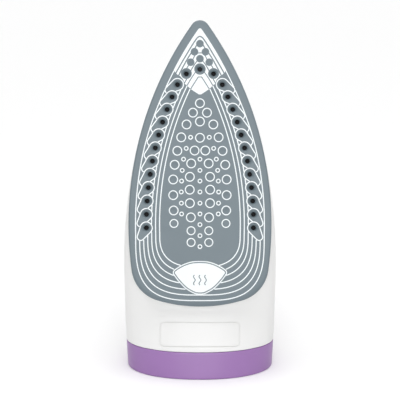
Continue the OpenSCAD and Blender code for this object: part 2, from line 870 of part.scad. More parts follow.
module neon_lamp() {
  color("mistyrose") stand() translate([0, lamp_u, 44]) cylinder(h = 3.4, r = 1.6);
}

module lamp_holder() {
  color(dark) stand() translate([0, lamp_u, 0]) difference() {
    translate([0, 0, 44]) cylinder(h = 3.9, r = 5.5);
    translate([0, 0, 40]) cylinder(h = 20, r = 2.8);
  }
}

soleplate();
sole_seal();
steam_chamber();
heating_element();
element_insulators();
chamber_gasket();
chamber_cover();
cover_screws();
heat_shield();
thermostat();
thermal_fuse();
fuse_clip();
steam_nipple();
steam_hose();
hose_clips();
lower_casing();
body_shell();
handle_cover();
grip_pad();
heel_cover();
heel_screws();
cord_gland();
cord_clamp();
clamp_screws();
terminal_block();
terminal_screws();
live_wire();
neutral_wire();
earth_wire();
element_wires();
switch_wires();
lamp_wires();
switch_carrier();
micro_switch();
switch_plunger();
trigger();
trigger_pin();
trigger_spring();
dial_bezel();
thermostat_dial();
dial_spindle();
dial_pointer();
lamp_lens();
neon_lamp();
lamp_holder();
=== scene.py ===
import json
import math
import bmesh
import bpy
from mathutils import Matrix, Vector


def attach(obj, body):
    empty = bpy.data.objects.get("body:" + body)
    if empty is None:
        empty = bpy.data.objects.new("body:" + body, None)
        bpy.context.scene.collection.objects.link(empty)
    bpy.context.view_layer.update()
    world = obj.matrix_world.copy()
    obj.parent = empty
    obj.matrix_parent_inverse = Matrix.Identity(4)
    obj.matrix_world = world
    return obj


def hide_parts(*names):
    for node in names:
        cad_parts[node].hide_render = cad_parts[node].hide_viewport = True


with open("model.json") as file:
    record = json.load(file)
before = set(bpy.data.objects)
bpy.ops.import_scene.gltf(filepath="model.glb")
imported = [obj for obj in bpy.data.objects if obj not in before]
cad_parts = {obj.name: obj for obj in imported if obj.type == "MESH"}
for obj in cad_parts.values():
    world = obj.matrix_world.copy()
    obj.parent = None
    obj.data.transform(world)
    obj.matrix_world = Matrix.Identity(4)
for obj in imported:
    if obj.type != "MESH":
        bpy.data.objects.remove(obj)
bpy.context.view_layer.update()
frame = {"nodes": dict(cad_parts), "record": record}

print("frame loaded")

mm = 0.001
record = frame["record"]
mounts = {mount["name"]: mount for mount in record["mounts"]}

# The iron's own frame: x across, u forward along the soleplate, v from the ironing face to the handle
faceOut = Vector(mounts["sole_face"]["axis"])
lean = math.atan2(faceOut.z, -faceOut.y)
forward = Vector((0, math.sin(lean), math.cos(lean)))
rearEdge = Vector(mounts["sole_face"]["pos_m"]) / mm - 118 * forward
ironFrame = Matrix((
    (-1, 0, 0, 0),
    (0, forward.y, -faceOut.y, rearEdge.y),
    (0, forward.z, -faceOut.z, rearEdge.z),
    (0, 0, 0, 1)))
rowFrame = Matrix.Identity(4)


def ramp(low, high, t):
    s = min(1, max(0, (t - low) / (high - low)))
    return s * s * (3 - 2 * s)


def power(base, exponent):
    return max(0, base) ** exponent


# ---- modelling helpers ----

def deselect():
    if bpy.context.object and bpy.context.object.mode != "OBJECT":
        bpy.ops.object.mode_set(mode="OBJECT")
    bpy.ops.object.select_all(action="DESELECT")


def activate(piece):
    deselect()
    piece.select_set(True)
    bpy.context.view_layer.objects.active = piece


def applyModifier(piece, kind, **settings):
    activate(piece)
    modifier = piece.modifiers.new(kind.lower(), kind)
    for name, value in settings.items():
        setattr(modifier, name, value)
    bpy.ops.object.modifier_apply(modifier=modifier.name)


def shape(piece, tool, operation):  # boolean with a closed tool, which is used up
    applyModifier(piece, "BOOLEAN", object=tool, operation=operation, solver="MANIFOLD")
    bpy.data.objects.remove(tool)


def copyOf(piece):
    twin = piece.copy()
    twin.data = piece.data.copy()
    bpy.context.scene.collection.objects.link(twin)
    return twin


def loft(name, rings, ends="cap"):  # a grid bent through the rings, one row of vertices for each
    deselect()
    sides, rows = len(rings[0]), len(rings)
    bpy.ops.mesh.primitive_grid_add(x_subdivisions=sides - 1, y_subdivisions=rows - 1)
    piece = bpy.context.object
    piece.name = piece.data.name = name
    mesh = bmesh.new()
    mesh.from_mesh(piece.data)
    mesh.verts.ensure_lookup_table()
    for vertex, point in zip(mesh.verts, [point for ring in rings for point in ring]):
        vertex.co = point
    for row in range(rows - 1):
        a, b = row * sides, (row + 1) * sides
        mesh.faces.new([mesh.verts[i] for i in (a + sides - 1, a, b, b + sides - 1)])
    if ends == "cap":
        for row in (0, rows - 1):
            mesh.faces.new([mesh.verts[row * sides + i] for i in range(sides)])
    else:  # the last ring runs on into the first
        last = (rows - 1) * sides
        for i in range(sides):
            j = (i + 1) % sides
            mesh.faces.new([mesh.verts[k] for k in (last + i, last + j, j, i)])
    mesh.normal_update()
    bmesh.ops.recalc_face_normals(mesh, faces=mesh.faces)
    mesh.to_mesh(piece.data)
    mesh.free()
    return piece


def turned(name, profile, sides=96, wave=lambda angle: 0, ends="cap"):  # turned on a lathe about v
    rings = []
    for radius, level in profile:
        angles = [2 * math.pi * i / sides for i in range(sides)]
        rings.append([((radius - wave(a)) * math.cos(a), (radius - wave(a)) * math.sin(a), level)
                      for a in angles])
    return loft(name, rings, ends)


def prism(name, outline, low, high, axis="Z"):  # a closed outline pushed out between two levels
    turns = {"Z": lambda a, b, t: (a, b, t), "X": lambda a, b, t: (t, a, b)}
    return loft(name, [[turns[axis](a, b, level) for a, b in outline] for level in (low, high)])


def cylinder(radius, depth, place=(0, 0, 0), sides=48, turn=(0, 0, 0)):
    deselect()
    bpy.ops.mesh.primitive_cylinder_add(vertices=sides, radius=radius, depth=depth, location=place,
                                        rotation=turn)
    bpy.ops.object.transform_apply(location=True, rotation=True, scale=True)
    return bpy.context.object


def box(size, place, round=0):
    deselect()
    bpy.ops.mesh.primitive_cube_add(size=1, location=place)
    piece = bpy.context.object
    piece.scale = size
    bpy.ops.object.transform_apply(location=True, rotation=True, scale=True)
    if round:
        applyModifier(piece, "BEVEL", width=round, segments=4)
    return piece


def copies(name, pattern, places):  # one joined piece of the pattern at every place, pattern used up
    twins = []
    for place in places:
        twin = copyOf(pattern)
        twin.data.transform(Matrix.Translation((*place, 0)))
        twins.append(twin)
    bpy.data.objects.remove(pattern)
    return join(name, twins)


def join(name, pieces):
    activate(pieces[0])
    for piece in pieces:
        piece.select_set(True)
    if len(pieces) > 1:
        bpy.ops.object.join()
    pieces[0].name = pieces[0].data.name = name
    return pieces[0]


def settle(piece, place, material, body, nodes=(), smooth=35):  # into metres and onto its body
    piece.data.transform(Matrix.Scale(mm, 4) @ place)
    piece.data.materials.clear()
    piece.data.materials.append(material)
    activate(piece)
    bpy.ops.object.shade_smooth_by_angle(angle=math.radians(smooth))
    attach(piece, body)
    if nodes:
        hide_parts(*nodes)
    return piece


# ---- materials ----

def srgb(code):  # sRGB hex to linear, with alpha
    channels = [int(code[i:i + 2], 16) / 255 for i in (0, 2, 4)]
    return [c / 12.92 if c <= 0.04045 else ((c + 0.055) / 1.055) ** 2.4 for c in channels] + [1]


def addNode(tree, kind, settings, inputs):
    new = tree.nodes.new("ShaderNode" + kind)
    for name, value in settings.items():
        setattr(new, name, value)
    for name, value in inputs.items():
        if isinstance(value, bpy.types.NodeSocket):
            tree.links.new(value, new.inputs[name])
        else:
            new.inputs[name].default_value = value
    return new


def newMaterial(name):
    material = bpy.data.materials.new(name)
    material.use_nodes = True
    tree = material.node_tree
    tree.nodes.clear()
    return material, tree


def surface(name, colour, grain, bump, spread, **shader):
    # grain is the size of the surface's texture in mm, bump its height, spread its colour variation
    material, tree = newMaterial(name)
    place = addNode(tree, "TexCoord", {}, {})
    fine = addNode(tree, "TexNoise", {}, {"Vector": place.outputs["Object"], "Scale": 1 / (grain * mm),
                                          "Detail": 3.0, "Roughness": 0.55})
    broad = addNode(tree, "TexNoise", {}, {"Vector": place.outputs["Object"], "Scale": 35.0,
                                           "Detail": 2.0})
    dark = [c * (1 - spread) for c in srgb(colour)[:3]] + [1]
    light = [min(1, c * (1 + spread)) for c in srgb(colour)[:3]] + [1]
    tint = addNode(tree, "Mix", {"data_type": "RGBA"}, {"Factor": broad.outputs["Fac"]})
    tint.inputs[6].default_value = dark
    tint.inputs[7].default_value = light
    relief = addNode(tree, "Bump", {}, {"Height": fine.outputs["Fac"], "Strength": 0.6,
                                        "Distance": bump * mm})
    low = shader.pop("roughness") - 0.04
    rough = addNode(tree, "MapRange", {}, {"Value": fine.outputs["Fac"], "To Min": low,
                                           "To Max": low + 0.08})
    shade = addNode(tree, "BsdfPrincipled", {}, {"Base Color": tint.outputs[2],
                                                 "Roughness": rough.outputs["Result"],
                                                 "Normal": relief.outputs["Normal"], **shader})
    addNode(tree, "OutputMaterial", {}, {"Surface": shade.outputs["BSDF"]})
    return material


# Vitreous enamel on aluminium, fired: a glassy skin over a faintly mottled grey
enamelGrey = surface("vitreousEnamelGrey", "6B787F", 0.8, 0.02, 0.03, roughness=0.42)
# White enamel print, fired into the grey: flatter than the glaze round it
enamelWhite = surface("vitreousEnamelWhite", "F1F6F8", 0.8, 0.01, 0.01, roughness=0.4)
# ABS, injection moulded in a polished tool: bright soft highlights
absWhite = surface("absMouldedWhite", "F0F0EF", 0.5, 0.01, 0.006, roughness=0.3, IOR=1.54)
absPurple = surface("absMouldedPurple", "9A72AE", 0.5, 0.01, 0.02, roughness=0.32, IOR=1.54)
absGrey = surface("absMouldedGrey", "9A9CA3", 0.4, 0.02, 0.02, roughness=0.42, IOR=1.54)
# Glass-filled polyamide, moulded: dull black inner parts
polyamide = surface("polyamideBlack", "26272A", 0.5, 0.03, 0.05, roughness=0.5)
polyamideIvory = surface("polyamideIvory", "DCD6C4", 0.5, 0.03, 0.03, roughness=0.5)
# Thermoplastic elastomer, spark-eroded texture: soft and matt, light spreads along edges
elastomer = surface("elastomerPlum", "6B5878", 0.45, 0.12, 0.04, roughness=0.68,
                    **{"Sheen Weight": 0.25, "Sheen Roughness": 0.5})
siliconeRed = surface("siliconeRed", "9E4034", 0.5, 0.02, 0.04, roughness=0.55)
siliconeClear = surface("siliconeMilky", "D8D8D2", 0.5, 0.02, 0.03, roughness=0.45)
# Aluminium, gravity cast, with the dark coat that steam chambers get: dull and sandy
castAluminium = surface("aluminiumCastCoated", "1B1C1F", 0.6, 0.15, 0.1, roughness=0.7,
                        Metallic=0.2)
# Steel sheet, cold rolled
steelSheet = surface("steelRolled", "AFAFB0", 0.3, 0.01, 0.04, roughness=0.3, Metallic=1.0)
# Steel, zinc plated: blue-white and slightly cloudy
steelZinc = surface("steelZincPlated", "A8ABB2", 0.4, 0.02, 0.06, roughness=0.36, Metallic=1.0)
steelOxide = surface("steelOxidised", "4E4C4A", 0.4, 0.04, 0.15, roughness=0.55, Metallic=1.0)
brassTurned = surface("brassTurned", "C9A557", 0.3, 0.01, 0.05, roughness=0.3, Metallic=1.0)
ceramic = surface("steatiteFired", "E6E0D2", 0.4, 0.03, 0.03, roughness=0.6)
insulation = {name: surface("pvc" + name, code, 0.5, 0.01, 0.03, roughness=0.4) for name, code in
              {"Brown": "5B3A20", "Blue": "24459B", "GreenYellow": "7FA52A", "Red": "8C2B20",
               "Black": "161616"}.items()}
# Pad-printed ink on the plastic and on the badge: flat and slightly rough
inkPurple = surface("padPrintPurple", "7A4E92", 0.5, 0.005, 0.01, roughness=0.55)
inkGrey = surface("firedInkGrey", "6E7A80", 0.5, 0.005, 0.01, roughness=0.5)
# Polycarbonate, clear moulded: the lamp's window and the glass behind it
lensAmber = surface("polycarbonateAmber", "E8912C", 0.6, 0.005, 0.03, roughness=0.12, IOR=1.58,
                    **{"Transmission Weight": 0.7})
lampGlass = surface("sodaGlass", "F2DCCB", 0.6, 0.005, 0.02, roughness=0.08, IOR=1.5,
                    **{"Transmission Weight": 0.8})

print("materials made")

# ---- camera, light and floor ----

studio = {"distance": 900, "aim": 87.9, "lens": 98.4, "shiftAcross": 0.05,
          "front": 17.0, "sun": 2.9, "fill": 0.05}


def addCamera():
    data = bpy.data.cameras.new("camera")
    data.lens = studio["lens"]
    data.clip_end = 20
    camera = bpy.data.objects.new("camera", data)
    bpy.context.scene.collection.objects.link(camera)
    aim = rearEdge + forward * studio["aim"] + Vector((studio["shiftAcross"], 0, 0))
    camera.location = (aim + faceOut * studio["distance"]) * mm
    camera.rotation_euler = (math.pi / 2 - lean, 0, 0)
    bpy.context.scene.camera = camera


def addLight(name, place, aim, size, power):
    data = bpy.data.lights.new(name, "AREA")
    data.shape = "RECTANGLE"
    data.size, data.size_y = size
    data.energy = power
    light = bpy.data.objects.new(name, data)
    bpy.context.scene.collection.objects.link(light)
    light.location = place
    light.rotation_euler = (Vector(aim) - Vector(place)).to_track_quat("-Z", "Y").to_euler()


def addStudio():
    addLight("frontSoftbox", (0, -2.0, 0.9), (0, 0, 0.15), (1.5, 1.2), studio["front"])
    overhead = bpy.data.lights.new("overhead", "SUN")  # the even light of a wide bank overhead
    overhead.energy = studio["sun"]
    overhead.angle = math.radians(75)
    bpy.context.scene.collection.objects.link(bpy.data.objects.new("overhead", overhead))
    world = bpy.data.worlds.new("studio")
    world.use_nodes = True
    tree = world.node_tree
    tree.nodes.clear()
    sight = addNode(tree, "LightPath", {}, {})
    fill = addNode(tree, "Background", {}, {"Color": (1, 1, 1, 1), "Strength": studio["fill"]})
    seen = addNode(tree, "Background", {}, {"Color": (1, 1, 1, 1), "Strength": 1.0})
    either = addNode(tree, "Math", {"operation": "MAXIMUM"}, {})
    tree.links.new(sight.outputs["Is Camera Ray"], either.inputs[0])
    tree.links.new(sight.outputs["Is Glossy Ray"], either.inputs[1])
    pick = addNode(tree, "MixShader", {}, {"Fac": either.outputs[0]})
    tree.links.new(fill.outputs[0], pick.inputs[1])
    tree.links.new(seen.outputs[0], pick.inputs[2])
    addNode(tree, "OutputWorld", {}, {"Surface": pick.outputs[0]})
    bpy.context.scene.world = world
    bpy.context.scene.view_settings.view_transform = "Standard"
    deselect()
    bpy.ops.mesh.primitive_plane_add(size=30)
    floor = bpy.context.object
    floor.name = "floor"
    floor.data.materials.append(surface("paintedBoardWhite", "FAFAFA", 2.0, 0.01, 0.004,
                                        roughness=0.7))


addCamera()
addStudio()
print("camera, light and floor placed")

# ---- soleplate ----

sole = {"half": 59, "sideRadius": 285, "widest": 68, "noseRadius": 8, "cornerRadius": 30,
        "rearRadius": 124, "thick": 3, "sideRim": 1.6, "rearRim": 4.4, "rimDrop": 1.6,
        "steamInset": 14.8, "pitch": 11.08, "lowest": -0.65, "rows": 12}
sideX = sole["sideRadius"] - sole["half"]
# Section of a steam hole: a shallow bowl that steepens into the bore (radius, depth)
bowlProfile = [(5.3, -1), (5.3, 0), (4.7, 0.05), (4.1, 0.16), (3.5, 0.36), (3, 0.64), (2.6, 0.98),
               (2.25, 1.4), (1.95, 2), (1.9, 2.4), (1.9, 6)]
dimpleProfile = [(2.9, -1), (2.9, 0), (2.4, 0.05), (1.8, 0.18), (1.2, 0.34), (0.6, 0.44), (0.05, 0.47)]
speckProfile = [(1.05, -1), (1.05, 0), (0.8, 0.2), (0.5, 0.45), (0.1, 0.55)]


def cornerCentre():  # the corner arc lies inside both the side arc and the rear arc
    big, rear, corner, wide = (sole[k] for k in ("sideRadius", "rearRadius", "cornerRadius", "widest"))
    k = (rear - wide) / sideX
    q = ((big - corner) ** 2 - (rear - corner) ** 2 - sideX ** 2 + rear ** 2 - wide ** 2) / (2 * sideX)
    a, b, c = 1 + k * k, -2 * rear - 2 * q * k, q * q + rear ** 2 - (rear - corner) ** 2
    u = (-b - math.sqrt(b * b - 4 * a * c)) / (2 * a)
    return q - k * u, u


cornerX, cornerU = cornerCentre()


def arcPoints(centre, radius, start, end, count):
    angles = [math.radians(start + (end - start) * i / count) for i in range(count + 1)]
    return [(centre[0] + radius * math.cos(a), centre[1] + radius * math.sin(a)) for a in angles]


def halfOutline(inset, nose=None):  # right half, from the rear middle to the nose
    nose = sole["noseRadius"] - inset if nose is None else nose
    wide, rear = sole["widest"], sole["rearRadius"]
    side = sole["sideRadius"] - inset
    rearEnd = math.degrees(math.atan2(cornerU - rear, cornerX))
    sideLow = math.degrees(math.atan2(cornerU - wide, cornerX + sideX))
    tipU = wide + math.sqrt((side - nose) ** 2 - sideX ** 2)
    top = math.degrees(math.atan2(tipU - wide, sideX))
    return (arcPoints((0, rear), rear - inset, -90, rearEnd, 24)
            + arcPoints((cornerX, cornerU), sole["cornerRadius"] - inset, rearEnd, sideLow, 18)[1:]
            + arcPoints((-sideX, wide), side, sideLow, top, 80)[1:]
            + arcPoints((0, tipU), nose, top, 90, 14)[1:])


def fullOutline(inset, nose=None):
    right = halfOutline(inset, nose)
    return right + [(-x, u) for x, u in right[-2:0:-1]]


def bothSides(points):
    return [(side * x, u) for x, u in points for side in ((1, -1) if x else (1,))]


def steamHoles():  # centre and angle on its arc of each open hole along the right edge
    arc = sole["sideRadius"] - sole["steamInset"]
    step = 2 * math.asin(sole["pitch"] / 2 / arc)
    angles = [math.radians(sole["lowest"]) + step * i for i in range(sole["rows"])]
    return [(arc * math.cos(a) - sideX, sole["widest"] + arc * math.sin(a), a) for a in angles]


edgeHoles = steamHoles()
noseHoles = [(0, 195.7), (11.2, 192)]
noseDimples = [(0, 216.6), (0, 204.2), (4.55, 209.9), (7.65, 201.3)]
# Rings of the field, right half: distance from the middle and from the rear edge
field = {
    "dimpled": [(0, 167.6), (5.8, 159.8), (0, 152.5), (11, 150.1), (0, 139.1), (15.4, 139.5),
                (4.4, 128.6), (18.6, 128.4), (7.2, 118), (20.8, 116.9), (8.3, 107), (22, 104.8),
                (8.4, 96.4), (22, 91.9), (8.3, 85.3), (21.6, 79.3), (7.5, 73.6)],
    "plain": [(21.4, 68.6), (7.3, 62.6), (7.3, 53)],
    "small": [(7.7, 139.5), (11.3, 130.4), (0, 121.5), (13.5, 121.5), (0, 112.3), (14.6, 112.3),
              (0, 103.5), (15.1, 103.5), (0, 94.5), (15.4, 94.5), (0, 85.3), (15.3, 85.3),
              (0, 76.4), (15.1, 76.4), (0, 67.6), (0, 58.5), (0, 49.5)]}


def makeSoleplate():
    outline = fullOutline(0)
    inward = []
    for i in range(len(outline)):
        a, b = outline[i - 1], outline[(i + 1) % len(outline)]
        length = math.hypot(b[0] - a[0], b[1] - a[1])
        inward.append(((a[1] - b[1]) / length, (b[0] - a[0]) / length))
    layers = []
    steps = 10
    for i in range(steps + 1):  # the rim rounds over: narrow along the sides, wide at the heel
        turn = math.pi / 2 * i / steps
        layer = []
        for (x, u), n in zip(outline, inward):
            reach = sole["sideRim"] + (sole["rearRim"] - sole["sideRim"]) * (1 - ramp(4, 34, u))
            d = reach * (1 - math.sin(turn))
            layer.append((x + n[0] * d, u + n[1] * d, sole["rimDrop"] * (1 - math.cos(turn))))
        layers.append(layer)
    layers.append([(x, u, sole["thick"]) for x, u in outline])
    plate = loft("soleplate", layers)
    places = bothSides([(x, u) for x, u, a in edgeHoles] + noseHoles)
    shape(plate, copies("bowls", turned("bowl", bowlProfile, 48), places), "DIFFERENCE")
    places = bothSides(field["dimpled"] + noseDimples)
    shape(plate, copies("dimples", turned("dimple", dimpleProfile, 32), places), "DIFFERENCE")
    places = bothSides(field["small"])
    shape(plate, copies("specks", turned("speck", speckProfile, 20), places), "DIFFERENCE")
    settle(plate, ironFrame, enamelGrey, "root", ["soleplate"], 25)


makeSoleplate()
print("soleplate made")

# ---- print on the soleplate ----

inkwork = {"line": 0.87, "lines": 7, "dropHead": 5.35, "dropTail": 3.3, "tailOut": 4.65,
           "tailBack": 7.4, "under": 0.04, "height": 0.05}


def strip(points, width, low, high):  # a closed flat band along a path
    rings = []
    for i, (x, u) in enumerate(points):
        a, b = points[max(0, i - 1)], points[min(len(points) - 1, i + 1)]
        length = math.hypot(b[0] - a[0], b[1] - a[1])
        n = ((b[1] - a[1]) / length * width / 2, (a[0] - b[0]) / length * width / 2)
        rings.append([(x + n[0], u + n[1], low), (x - n[0], u - n[1], low),
                      (x - n[0], u - n[1], high), (x + n[0], u + n[1], high)])
    return loft("strip", rings)


def dropOutline(place, inset):  # round head at the hole, narrower tail outwards and to the rear
    x, u, a = place
    tail = (x + inkwork["tailOut"] * math.cos(a) + inkwork["tailBack"] * math.sin(a),
            u + inkwork["tailOut"] * math.sin(a) - inkwork["tailBack"] * math.cos(a))
    head, end = inkwork["dropHead"] - inset, inkwork["dropTail"] - inset
    away = math.degrees(math.atan2(tail[1] - u, tail[0] - x))
    spread = math.degrees(math.acos((head - end) / math.hypot(tail[0] - x, tail[1] - u)))
    return (arcPoints((x, u), head, away + spread, away + 360 - spread, 60)
            + arcPoints(tail, end, away - spread, away + spread, 30))


def fill(path, step):  # more points along a path, at most a step apart
    points = []
    for a, b in zip(path, path[1:]):
        count = max(1, math.ceil(math.hypot(b[0] - a[0], b[1] - a[1]) / step))
        points += [(a[0] + (b[0] - a[0]) * i / count, a[1] + (b[1] - a[1]) * i / count)
                   for i in range(count)]
    return points + [path[-1]]


def inside(point, outline):
    x, u = point
    hit = False
    for i in range(len(outline)):
        (ax, au), (bx, bu) = outline[i - 1], outline[i]
        if (au > u) != (bu > u) and x < ax + (bx - ax) * (u - au) / (bu - au):
            hit = not hit
    return hit


def visibleRuns(path, covers):  # the stretches of a path that no cover hides
    runs, run = [], []
    for point in path:
        if any(inside(point, cover) for cover in covers):
            if len(run) > 2:
                runs.append(run)
            run = []
        else:
            run.append(point)
    return runs + ([run] if len(run) > 2 else [])


def mirrored(path):
    return [(-x, u) for x, u in path]


def smoothPath(points, steps=10):
    out = []
    for i in range(len(points) - 1):
        a, b, c, d = (points[max(0, min(len(points) - 1, i + k))] for k in (-1, 0, 1, 2))
        for k in range(steps):
            t = k / steps
            out.append(tuple(0.5 * (2 * b[j] + (c[j] - a[j]) * t
                                    + (2 * a[j] - 5 * b[j] + 4 * c[j] - d[j]) * t * t
                                    + (3 * b[j] - a[j] - 3 * c[j] + d[j]) * t ** 3) for j in (0, 1)))
    return out + [points[-1]]


# Guitar-pick badge, right half from the top to the bottom
badgeRight = smoothPath([(0, 37.7), (6, 37.4), (12.4, 35.6), (17.5, 33), (20.7, 30.9), (22.1, 29.3),
                         (22.3, 27.7), (21.4, 25.7), (17.5, 20.6), (11.5, 14.6), (5, 10.9), (2.4, 10.2),
                         (0, 10)], 6)


def inkLine(i):  # right half of line i, from the rear middle to the nose
    across, back, bend = 52.9 - 3.3 * i, 53.7 - 4.57 * i, 3.2 - 0.1 * i
    turn = [math.pi / 2 * k / 48 for k in range(49)]
    low = [(across * power(math.sin(t), 2 / bend), 58.8 - back * power(math.cos(t), 2 / bend))
           for t in turn]
    last = [194.6, 184, 183, 182, 182, 182, 179.4][i]
    side = []
    for k in range(1, 121):
        u = 58.8 + (last - 58.8) * k / 120
        radius = 285 - 5.96 - 3.3 * i - (1.3 * ramp(120, 195, u) if i == 0 else 0)
        side.append((math.sqrt(radius ** 2 - (u - 68) ** 2) - 226, u))
    return low + side


def makeInk():
    under, top = inkwork["under"], -inkwork["height"]
    heads = [dropOutline(hole, 0.2) for hole in edgeHoles]
    heads += [mirrored(outline) for outline in heads]
    badge = badgeRight + mirrored(badgeRight)[::-1]
    covers = heads + [badge]
    strips = []
    for i in range(inkwork["lines"]):
        right = inkLine(i)
        path = fill(mirrored(right)[::-1] + right[1:], 0.9)
        strips += [strip(run, inkwork["line"], top, under) for run in visibleRuns(path, covers)]
    lines = join("printedLines", strips)
    settle(lines, ironFrame, enamelWhite, "root")
    strips = []
    for k, hole in enumerate(edgeHoles):
        outline = dropOutline(hole, inkwork["line"] / 2)
        path = fill(outline + outline[:1], 0.5)
        below = [dropOutline(edgeHoles[k - 1], inkwork["line"] * 0.7)] if k else []
        for run in visibleRuns(path, below):
            strips.append(strip(run, inkwork["line"], top - 0.012, under))
            strips.append(strip(mirrored(run), inkwork["line"], top - 0.012, under))
    drops = join("printedDrops", strips)
    settle(drops, ironFrame, enamelWhite, "root")
    rings = []
    for kind, outer in (("dimpled", 4.03), ("plain", 3.7), ("small", 1.97)):
        inner = outer - (inkwork["line"] if kind != "small" else 0.9)
        profile = [(outer, top + 0.02), (outer - 0.03, top), (inner + 0.03, top), (inner, top + 0.02),
                   (inner, under), (outer, under)]
        pattern = turned("ring", profile, 48 if kind != "small" else 32, ends="join")
        rings.append(copies("rings", pattern, bothSides(field[kind])))
    settle(join("printedRings", rings), ironFrame, enamelWhite, "root")


makeInk()
print("lines, drops and rings printed")

nose = {"inset": 6.7, "tip": 1.6, "gapLine": 1, "fineLine": 0.8, "holeDisc": 4.7, "sideDisc": 4.5,
        "dimpleDisc": 3.15}
# Right half of the paths left grey in the white patch, outermost first
noseGaps = [[(0, 222.6), (1.6, 221.9), (3.3, 220), (7.4, 213.7), (12.2, 205.7), (16.8, 197.8),
             (20.3, 191.6)],
            [(2.4, 215.8), (4.6, 212.2), (7.6, 208.3), (12.1, 200.9), (17.8, 189.9)],
            [(0, 209), (2.4, 208.6), (4.5, 206.3), (6, 203.4), (10.1, 197.6), (11, 195.4)],
            [(2.3, 202.4), (4.4, 199.6), (7.3, 194.7), (11.3, 186.8), (13, 183.9)],
            [(3.8, 193), (7, 188.3), (10.7, 182)],
            [(0, 189.3), (1.1, 189.1), (2, 188.2), (7.9, 178.9)]]
noseLower = [(21.6, 194.9), (20, 192.4), (19.4, 192), (17.6, 190.3), (16.4, 190), (15.2, 188.6),
             (13.8, 187.2), (13.2, 185), (12.3, 183.2), (10.4, 182.4), (9.7, 181.2), (7.8, 179.5),
             (6.9, 178.7), (1.2, 175), (0, 174.7)]


def makeNosePatch():
    right = [p for p in halfOutline(nose["inset"], nose["tip"]) if p[1] > noseLower[0][1]]
    outline = right[::-1] + noseLower
    outline += mirrored(outline[1:-1])[::-1]
    patch = prism("nosePatch", outline, -inkwork["height"] - 0.006, inkwork["under"])
    discs = []
    for radius, places in ((nose["holeDisc"], noseHoles[:1]), (nose["sideDisc"], noseHoles[1:]),
                           (nose["dimpleDisc"], noseDimples)):
        discs.append(copies("discs", cylinder(radius, 2), bothSides(places)))
    shape(patch, join("discs", discs), "DIFFERENCE")
    for i, path in enumerate(noseGaps):
        width = nose["gapLine"] if i < 2 else nose["fineLine"]
        path = smoothPath(path, 5)
        if path[0][0] == 0:
            shape(patch, strip(mirrored(path)[:0:-1] + path, width, -1, 1), "DIFFERENCE")
        else:
            shape(patch, strip(path, width, -1, 1), "DIFFERENCE")
            shape(patch, strip(mirrored(path), width, -1, 1), "DIFFERENCE")
    settle(patch, ironFrame, enamelWhite, "root")


def makeBadge():
    loop = badgeRight + mirrored(badgeRight)[-2:0:-1]
    centre = (0, 25)
    rings = []
    for inset, level in ((0, -0.03), (0.03, -0.05), (0.84, -0.05), (0.87, -0.03), (0.87, 0.04), (0, 0.04)):
        rings.append(insetLoop(loop, inset, level - (0.01 if level < 0 else 0)))
    edge = loft("badgeEdge", rings, "join")
    plate = prism("badgePlate", [p[:2] for p in insetLoop(loop, 1.75, 0)], -0.065, 0.04)
    badge = join("badge", [edge, plate])
    settle(badge, ironFrame, enamelWhite, "root")
    waves = []
    for k in (-1, 0, 1):
        path = smoothPath([(4.6 * k + 0.75 * math.sin(math.pi * t / 2), 17.8 + 1.4 * t)
                           for t in range(7)], 6)
        waves.append(strip(path, 0.75, -0.08, -0.02))
    settle(join("badgeMark", waves), ironFrame, inkGrey, "root")


def insetLoop(loop, inset, level):
    out = []
    for i in range(len(loop)):
        a, b = loop[i - 1], loop[(i + 1) % len(loop)]
        length = math.hypot(b[0] - a[0], b[1] - a[1])
        out.append((loop[i][0] + (b[1] - a[1]) / length * inset,
                    loop[i][1] - (b[0] - a[0]) / length * inset, level))
    return out


makeNosePatch()
makeBadge()
print("nose patch and badge printed")

# ---- casing ----

case = {"half": 64.5, "noseZ": 284, "top": 283.2, "wall": 2.6, "blockHalf": 21.5, "blockV": 113,
        "seam": 22, "gap": 0.2, "sides": 144, "edge": 0.5, "heelEdge": 1.4}


def inIron(piece):
    piece.data.transform(ironFrame)
    return piece


def rowY(z, v):
    return rearEdge.y + (z - rearEdge.z) * math.tan(lean) + v / math.cos(lean)


def along(z, v):
    return (z - rearEdge.z + v * math.sin(lean)) / math.cos(lean)


def partingV(z):
    return 46 - 0.115 * z


tipU = along(case["noseZ"], partingV(case["noseZ"]))


def halfWidth(z):
    u = along(z, partingV(z))
    s = (u - 26) / (tipU - 26)
    if s < 0:
        return case["half"] - 0.0004 * (u - 26) ** 2
    return case["half"] * power(1 - power(s, 2.3), 0.8)


def section(z, inset, sides=None):  # the casing at one height, as points round it
    wide, half, block = partingV(z), halfWidth(z) - inset, case["blockHalf"] - inset
    saddle = wide + (21 + 0.045 * z) * power(1 - power(z / case["noseZ"], 4), 0.75)
    front, bulge = 8.5 - 3 * ramp(45, 100, z), 2.15 + 2.85 * ramp(45, 120, z)
    share, neck = 1 - ramp(48, 92, z), case["blockV"] - 15
    half = max(0.05, half)
    sides = sides or case["sides"]
    out = []
    for i in range(sides):
        a = 360 * i / sides
        b = a if a <= 180 else 360 - a
        right = b <= 90
        t = (b if right else 180 - b) / 90
        c, s = power(math.cos(math.pi / 2 * t), 1), power(math.sin(math.pi / 2 * t), 1)
        if a <= 180:
            if t < 0.6:
                k = t / 0.6
                r = 1 - k
                bell = (half * (r ** 3 + 3 * r * r * k) + block * (3 * r * k * k + k ** 3),
                        wide * r ** 3 + 3 * (wide + 16 - inset) * r * r * k
                        + 3 * (wide + 22 - inset) * r * k * k + neck * k ** 3)
            else:
                turn = math.pi / 2 * (t - 0.6) / 0.4
                bell = (block * math.cos(turn), neck + (15 - inset) * math.sin(turn))
            dome = (half * c ** (2 / 2.4), wide + (saddle - wide - inset) * s ** (2 / 2.4))
            x, v = (share * bell[j] + (1 - share) * dome[j] for j in (0, 1))
        else:
            x, v = half * c ** (2 / bulge), wide - (wide - front - inset) * s ** (2 / bulge)
        out.append((x if right else -x, rowY(z, v), z))
    return out


